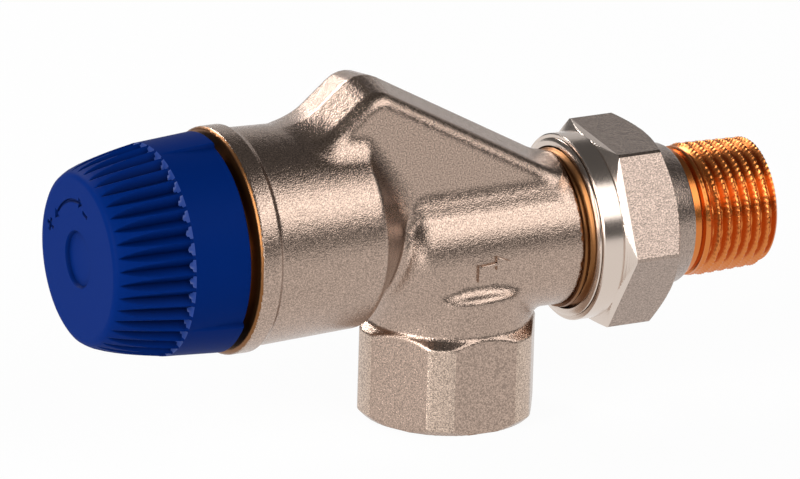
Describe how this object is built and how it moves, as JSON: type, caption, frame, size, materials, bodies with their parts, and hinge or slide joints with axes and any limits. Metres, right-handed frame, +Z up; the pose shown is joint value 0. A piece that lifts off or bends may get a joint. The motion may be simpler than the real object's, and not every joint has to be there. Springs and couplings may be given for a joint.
{
  "type": "thermostatic radiator valve",
  "caption": "Reverse-angle radiator valve body with a ribbed hand cap, a flow duct over the top, a female pipe inlet and a union nut on a male tailpiece.",
  "frame": {"origin": "centre of the inlet's mouth", "axes": "+Z up the inlet bore into the valve, +X out of the radiator tail; the hand cap points along -X"},
  "size_m": [0.1207, 0.0366, 0.059],
  "materials": {
    "nickel_casting": "matt nickel plating over a rough brass forging",
    "nickel_nut": "nickel plating, turned collar, rough forged flats",
    "brass": "machined, unplated",
    "stainless": "drawn wire and ground rod",
    "rubber_seal": "moulded, matt",
    "white_seal": "turned seal plastic",
    "fibre_seal": "pressed fibre, matt",
    "blue_plastic": "satin moulded plastic"
  },
  "bodies": {
    "valve_body": {"body_casting": "nickel_casting", "bonnet": "brass", "bonnet_o_ring": "rubber_seal", "gland_o_ring": "rubber_seal", "gland_washer": "white_seal", "gland_nut": "brass", "spring_cup": "brass", "return_spring": "stainless"},
    "stem_group": {"spindle_pin": "stainless", "valve_stem": "brass", "retaining_clip": "stainless", "spring_collar": "brass", "plug_holder": "brass", "plug_seal": "rubber_seal", "plug_nut": "brass"},
    "hand_cap": {"cap": "blue_plastic", "cap_thrust_pad": "brass"},
    "tail": {"tailpiece": "brass", "tail_seal": "fibre_seal"},
    "nut": {"union_nut": "nickel_nut"}
  },
  "joints": [
    {"name": "stem_travel", "type": "slide", "parent": "valve_body", "child": "stem_group", "axis": [1, 0, 0], "range_m": [-0.00191, 0.00061], "deforming": ["return_spring"]},
    {"name": "cap_turn", "type": "hinge", "parent": "stem_group", "child": "hand_cap", "pos_m": [-0.061, 0, 0.034], "axis": [1, 0, 0], "range_deg": [-456, 144]},
    {"name": "tail_withdraw", "type": "slide", "parent": "valve_body", "child": "tail", "axis": [1, 0, 0], "range_m": [0, 0.0081]},
    {"name": "union_nut_turn", "type": "hinge", "parent": "tail", "child": "nut", "pos_m": [0.0318, 0, 0.028], "axis": [1, 0, 0], "range_deg": [0, 1600]}
  ],
  "couplings": [
    {"joint": "stem_travel", "follows": "cap_turn", "m_per_rad": 0.00023873},
    {"joint": "tail_withdraw", "follows": "union_nut_turn", "m_per_rad": 0.00028875}
  ]
}
